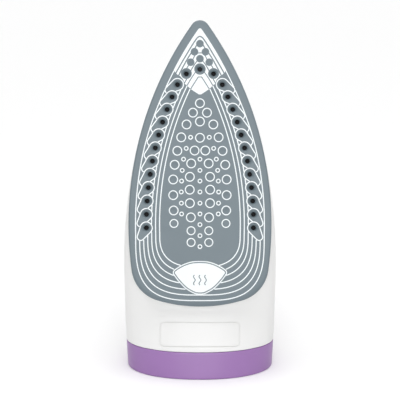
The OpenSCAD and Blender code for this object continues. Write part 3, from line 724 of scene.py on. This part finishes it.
def levels(low, high, count):  # closer together towards the nose
    return [low + (high - low) * (1 - (1 - i / count) ** 1.25) for i in range(count + 1)]


def rounded(low, edge):  # heights and insets of a rounded lower edge
    return [(low + edge * (1 - math.cos(a)), edge * (1 - math.sin(a)))
            for a in (math.pi / 2 * k / 5 for k in range(5))]


def sideSlab(points, name="slab"):
    return prism(name, points, -120, 120, "X")


def casingInner(floor):
    return loft("inner", [section(z, case["wall"], 96) for z in levels(floor, case["noseZ"] - 9, 40)])


def slabBefore(before):  # everything on one side of the parting
    gap = -case["gap"] if before else case["gap"]
    far = -200 if before else 300
    return sideSlab([(rowY(0, partingV(0) + gap), 0), (far, 0), (far, 320),
                     (rowY(320, partingV(320) + gap), 320)])


def casingOuter():
    low = case["seam"] + case["gap"]
    rings = rounded(low, case["edge"])
    rings += [(z, 0) for z in levels(low + case["edge"], case["top"], 110)]
    return loft("casing", [section(z, inset) for z, inset in rings])


def makeHeel():
    edge, top = case["heelEdge"], case["seam"] - case["gap"]
    rings = rounded(0, edge) + [(edge + (top - case["edge"] - edge) * k / 14, 0) for k in range(15)]
    rings += [(top - z, inset) for z, inset in rounded(0, case["edge"])[::-1]]
    heel = loft("heelCover", [section(z, inset) for z, inset in rings])
    hollow = [(case["wall"], 1.4 + case["wall"]), (case["wall"] + 0.6, 0.5 + case["wall"]),
              (case["wall"] + 1.6, case["wall"]), (30, case["wall"])]
    shape(heel, loft("hollow", [section(z, inset) for z, inset in hollow]), "DIFFERENCE")
    for side in (-1, 1):
        place = (33 * side, -3)
        shape(heel, cylinder(5.5, 9.6, (*place, 4.8)), "UNION")
        shape(heel, cylinder(3.8, 8, (*place, 0)), "DIFFERENCE")
        shape(heel, cylinder(1.9, 40, (*place, 0)), "DIFFERENCE")
    settle(heel, rowFrame, absPurple, "root", ["heel_cover"])


def panelTool(inset, depth):  # cuts the front's panel, or what lies in its edge, to a depth
    block = box((67 - 2 * inset, 21 - 2 * inset, 30), (0, -24, 4))
    edges = [e for e in block.data.edges if abs(block.data.vertices[e.vertices[0]].co.z
                                                - block.data.vertices[e.vertices[1]].co.z) > 1]
    weights = block.data.attributes.new("bevel_weight_edge", "FLOAT", "EDGE")
    for edge in edges:
        weights.data[edge.index].value = 1
    applyModifier(block, "BEVEL", width=4 - inset, segments=8, limit_method="WEIGHT")
    inIron(block)
    shape(block, loft("core", [section(z, depth) for z in levels(5, 90, 40)]), "DIFFERENCE")
    return block


def makeFrontShell():
    shell = casingOuter()
    plinth = loft("plinth", [[(x, u, v) for x, u in fullOutline(inset)] for inset, v in
                             ((2.6, 3.4), (2.2, 3.6), (2, 4), (2, 30))])
    plinth.data.transform(ironFrame)
    corners = [(245, -5), (245, 8), (120, 13), (30, 20), (-6, 23), (-6, -5)]
    rows = [tuple(ironFrame @ Vector((0, u, v)))[1:] for u, v in corners]
    shape(plinth, sideSlab(rows), "INTERSECT")
    shape(shell, plinth, "UNION")
    shape(shell, slabBefore(True), "INTERSECT")
    shape(shell, box((300, 400, 300), (0, 0, 150 + case["seam"] + case["gap"])), "INTERSECT")
    opening = prism("opening", fullOutline(4.7, 3.3), -5, 55)
    opening.data.transform(ironFrame)
    shape(shell, casingInner(case["wall"]), "DIFFERENCE")
    shape(shell, opening, "DIFFERENCE")
    shape(shell, panelTool(0, 0.4), "DIFFERENCE")
    groove = panelTool(0, 1.1)
    shape(groove, panelTool(0.8, 9), "DIFFERENCE")
    shape(shell, groove, "DIFFERENCE")
    seat = box((34, 18, 13.8), (0, -22, 17.1))
    seat.data.transform(ironFrame)
    shape(shell, seat, "UNION")
    settle(shell, rowFrame, absWhite, "root", ["lower_casing"])


makeHeel()
makeFrontShell()
print("heel and front shell made")

# ---- handle ----

# Centre line of the handle: along, away from the soleplate, half width, half thickness
gripLine = [(-28, 95, 19, 14), (-18, 97, 19, 14), (14, 103, 18, 14), (52, 107, 16.5, 13.5),
            (92, 107, 16, 13.5), (126, 102, 17, 14), (152, 89, 18, 14), (170, 71, 19, 14),
            (181, 50, 21, 15), (186, 32, 22, 15), (188, 22, 22, 15)]
grip = {"from": 1.02, "to": 8.98, "low": 54, "padFrom": 2.25, "padTo": 5.1, "padSunk": 1.1,
        "rib": 0.28, "ribPitch": 3.4, "flare": 5}


def gripAt(s):
    i = min(len(gripLine) - 3, max(1, math.floor(s)))
    t = s - i
    a, b, c, d = (gripLine[min(len(gripLine) - 1, i + k)] for k in (-1, 0, 1, 2))
    return [0.5 * (2 * b[j] + (c[j] - a[j]) * t + (2 * a[j] - 5 * b[j] + 4 * c[j] - d[j]) * t * t
                   + (3 * b[j] - a[j] - 3 * c[j] + d[j]) * t ** 3) for j in range(4)]


def gripNormal(s):
    p, q = gripAt(s - 0.02), gripAt(s + 0.02)
    length = math.hypot(q[0] - p[0], q[1] - p[1])
    return -(q[1] - p[1]) / length, (q[0] - p[0]) / length


def gripRing(s, inset, sides=96, flare=0):
    u, v, half, thick = gripAt(s)
    nu, nv = gripNormal(s)
    swell = flare * ramp(7.3, 8.9, s) ** 2
    out = []
    for i in range(sides):
        a = -2 * math.pi * i / sides
        c, e = math.cos(a), math.sin(a)
        x = math.copysign((half - inset + swell) * abs(c) ** (2 / 2.4), c)
        h = math.copysign((thick - inset + swell) * abs(e) ** (2 / 2.4), e)
        out.append(ironFrame @ Vector((x, u + h * nu, v + h * nv)))
    return out


def gripLoft(inset, start=None, end=None, count=130, flare=0):
    start, end = start or grip["from"], end or grip["to"]
    return loft("grip", [gripRing(start + (end - start) * i / count, inset, 96, flare)
                         for i in range(count + 1)])


def gripSide(start, end, count, lift):
    points = []
    for i in range(count + 1):
        s = start + (end - start) * i / count
        (u, v), (nu, nv) = gripAt(s)[:2], gripNormal(s)
        points.append(tuple(ironFrame @ Vector((0, u + lift * nu, v + lift * nv)))[1:])
    return points


def overGrip(lift):
    corners = ((300, 20), (300, 200), (-70, 200), (-70, 90))
    far = [tuple(ironFrame @ Vector((0, u, v)))[1:] for u, v in corners]
    return sideSlab(gripSide(grip["from"], grip["to"], 80, lift) + far)


def padZone(extra):
    low, high = grip["padFrom"] - extra / 40, grip["padTo"] + extra / 40
    return sideSlab(gripSide(low, high, 60, 6 - extra) + gripSide(high, high + 1, 1, 40)[:1]
                    + gripSide(low, low + 1, 1, 40)[:1])


def aboveSeam():
    return box((300, 400, 300), (0, 0, 150 + case["seam"] + case["gap"]))


def makeBackShell():
    handle = gripLoft(0, flare=grip["flare"])
    low = grip["low"] - case["gap"]
    away = [p for p in gripSide(grip["from"], 9.6, 90, -case["gap"]) if p[1] > low]
    shape(handle, sideSlab([(away[0][0], low)] + away + [(120, 320), (300, 320), (300, low)]),
          "DIFFERENCE")
    shape(handle, aboveSeam(), "INTERSECT")
    shell = casingOuter()
    shape(shell, handle, "UNION")
    shape(shell, inIron(bossAt()), "UNION")
    shape(shell, slabBefore(False), "INTERSECT")
    shape(shell, casingInner(case["wall"]), "DIFFERENCE")
    shape(shell, gripLoft(case["wall"], count=60), "DIFFERENCE")
    floor = loft("floor", [section(z, case["wall"] - 0.5, 96) for z in (26, 28.4)])
    shape(floor, slabBefore(False), "INTERSECT")
    shape(shell, floor, "UNION")
    for side in (-1, 1):
        shape(shell, cylinder(4.5, 18, (33 * side, -3, 19)), "UNION")
        shape(shell, cylinder(1.75, 40, (33 * side, -3, 20), 24), "DIFFERENCE")
    shape(shell, inIron(cylinder(25.2, 30, (0, 76, 64.5), 96)), "DIFFERENCE")
    shape(shell, inIron(cylinder(4.2, 20, (0, 124, 50))), "DIFFERENCE")
    slot = box((14.2, 50, 18), (0, 116.5, 89))
    applyModifier(slot, "BEVEL", width=2.5, segments=5, limit_method="ANGLE")
    shape(shell, inIron(slot), "DIFFERENCE")
    shape(shell, inIron(cylinder(8.3, 60, (0, 3, 117.4), 64)), "DIFFERENCE")
    settle(shell, rowFrame, absWhite, "root", ["body_shell"])


def bossAt():
    boss = turned("boss", [(12.5, 97), (12.5, 116.6), (12.35, 117.1), (12, 117.4)], 64)
    boss.data.transform(Matrix.Translation((0, 3, 0)))
    return boss


def makeHandleCover():
    cover = gripLoft(0, flare=grip["flare"])
    shape(cover, overGrip(case["gap"]), "INTERSECT")
    shape(cover, box((300, 400, 300), (0, 0, grip["low"] + case["gap"] + 150)), "INTERSECT")
    shape(cover, gripLoft(case["wall"], count=60), "DIFFERENCE")
    around = [section(z, -0.3) for z in levels(0, case["top"], 110)]
    shape(cover, loft("around", around), "DIFFERENCE")
    pocket = padZone(0.15)
    shape(pocket, gripLoft(grip["padSunk"] + 0.1), "DIFFERENCE")
    shape(cover, pocket, "DIFFERENCE")
    settle(cover, rowFrame, absPurple, "root", ["handle_cover"])


def makeGripPad():
    start, end, count = 2, 5.4, 420
    length = 0
    rings = []
    for i in range(count + 1):
        s = start + (end - start) * i / count
        u, v = gripAt(s)[:2]
        if i:
            length += math.hypot(u - old[0], v - old[1])
        old = (u, v)
        wave = math.sin(2 * math.pi * length / grip["ribPitch"])
        rib = grip["rib"] * max(0, wave) ** 0.7 * ramp(2.4, 2.55, s) * (1 - ramp(4.8, 4.95, s))
        rings.append(gripRing(s, -0.5 + rib))
    pad = loft("gripPad", rings)
    shape(pad, gripLoft(grip["padSunk"], 1.8, 5.6, 100), "DIFFERENCE")
    shape(pad, padZone(0), "INTERSECT")
    settle(pad, rowFrame, elastomer, "root", ["grip_pad"], 50)


makeBackShell()
makeHandleCover()
makeGripPad()
print("back shell and handle made")

# ---- controls ----

dial = {"u": 76, "radius": 21, "scallops": 24}


def scallop(angle):  # how far the dial's edge is cut in at an angle
    step = 2 * math.pi / dial["scallops"]
    off = (angle / step) % 1 - 0.5
    return 0.8 * power(1 - (abs(off) * step * dial["radius"] / 2.1) ** 2, 0.5)


def makeDial():
    edge = [(21, 53.1), (21, 62.6), (20.8, 63.1), (20.4, 63.6), (19.4, 64.2), (18.4, 64.45), (17.4, 64.5),
            (8, 64.5)]
    knob = turned("thermostatDial", edge, 480, scallop)
    bar = box((7, 34, 6), (0, 0, 64.5), 1.1)
    shape(knob, bar, "UNION")
    shape(knob, cylinder(3.05, 20, (0, 0, 50.2)), "DIFFERENCE")
    knob.data.transform(Matrix.Translation((0, dial["u"], 0)))
    settle(knob, ironFrame, absGrey, "dial", ["thermostat_dial"])


def makeBezel():
    profile = [(25, 50.5), (25, 60), (26, 60), (26, 60.7), (25.8, 61.05), (25.4, 61.2), (22.6, 61.2),
               (22.1, 61.05), (21.8, 60.7), (21.8, 52.5), (3.4, 52.5), (3.4, 50.5)]
    bezel = turned("dialBezel", profile, 128, ends="join")
    bezel.data.transform(Matrix.Translation((0, dial["u"], 0)))
    settle(bezel, ironFrame, absWhite, "root", ["dial_bezel"])
    marks = []
    for k in range(7):
        a = math.radians(150 - 50 * k + 30)
        size = 0.45 + 0.1 * k
        mark = turned("mark", [(size, 61.1), (size, 61.22), (size - 0.06, 61.25)], 24)
        mark.data.transform(Matrix.Translation((23.95 * math.sin(a), dial["u"] + 23.95 * math.cos(a), 0)))
        marks.append(mark)
    settle(join("dialMarks", marks), ironFrame, inkPurple, "root")


def makeLens():
    profile = [(4, 48)] + [(4, 55.2)] + [(9 * math.sin(a), 47.5 + 9 * math.cos(a)) for a in
                                         (math.asin(4 / 9) * (1 - k / 10) for k in range(1, 10))]
    lens = turned("lampLens", profile, 64)
    lens.data.transform(Matrix.Translation((0, 124, 0)))
    settle(lens, ironFrame, lensAmber, "root", ["lamp_lens"])


def makeGland():
    profile = [(5.5, -15), (8, -15), (8, 0.2), (10.7, 0.2), (11, 0.5), (11, 2.4), (10.6, 2.8), (9.7, 2.8),
               (9.5, 3.2)]
    for k in range(3):  # ribs that let the sleeve bend
        v = 3.6 + 1.5 * k
        profile += [(9.5 - 0.2 * k, v), (9.4 - 0.2 * k, v + 0.5), (8.7 - 0.2 * k, v + 0.7),
                    (8.7 - 0.2 * k, v + 1.1)]
    profile += [(8.7, 8), (8.6, 8.5), (8.2, 8.8), (6, 8.8), (5.5, 8.4)]
    gland = turned("cordGland", profile, 96, ends="join")
    gland.data.transform(Matrix.Translation((0, 3, 117.4)))
    settle(gland, ironFrame, absGrey, "root", ["cord_gland"])


def makeTrigger():
    outline = [(96, 94.5), (104, 97), (128, 97), (138, 98), (146, 96), (146, 88), (139, 87), (130, 86),
               (118, 83), (106, 82), (98, 84), (94, 88.5), (93.5, 93)]
    for turn in range(2):  # corners cut twice, so that the lever's edge runs smooth
        cut = []
        for i in range(len(outline)):
            (a, b), (c, d) = outline[i], outline[(i + 1) % len(outline)]
            cut += [(0.75 * a + 0.25 * c, 0.75 * b + 0.25 * d), (0.25 * a + 0.75 * c, 0.25 * b + 0.75 * d)]
        outline = cut
    lever = prism("trigger", outline, -6.5, 6.5, "X")
    applyModifier(lever, "BEVEL", width=1.3, segments=5, limit_method="ANGLE", angle_limit=1.0)
    shape(lever, cylinder(5, 13, (0, 146, 92), 48, (0, math.pi / 2, 0)), "UNION")
    shape(lever, cylinder(1.55, 40, (0, 146, 92), 48, (0, math.pi / 2, 0)), "DIFFERENCE")
    shape(lever, cylinder(3.6, 10, (0, 100, 100)), "DIFFERENCE")
    settle(lever, ironFrame, absPurple, "trigger", ["trigger"])


makeDial()
makeBezel()
makeLens()
makeGland()
makeTrigger()
print("controls made")

# ---- finishes of the parts kept from the frame ----

finishes = {
    siliconeRed: "sole_seal chamber_gasket", siliconeClear: "steam_hose",
    castAluminium: "steam_chamber", steelOxide: "heating_element",
    ceramic: "element_insulators thermal_fuse",
    steelSheet: "chamber_cover heat_shield fuse_clip trigger_spring dial_spindle trigger_pin",
    steelZinc: "cover_screws heel_screws clamp_screws thermostat hose_clips terminal_screws",
    brassTurned: "steam_nipple", polyamide: "cord_clamp switch_carrier micro_switch lamp_holder",
    polyamideIvory: "terminal_block switch_plunger", inkPurple: "dial_pointer",
    insulation["Brown"]: "live_wire", insulation["Blue"]: "neutral_wire",
    insulation["GreenYellow"]: "earth_wire", insulation["Red"]: "element_wires lamp_wires",
    insulation["Black"]: "switch_wires", lampGlass: "neon_lamp"}
for material, names in finishes.items():
    for name in names.split():
        piece = frame["nodes"][name]
        piece.data.materials.clear()
        piece.data.materials.append(material)
print("finishes given to the frame's parts")
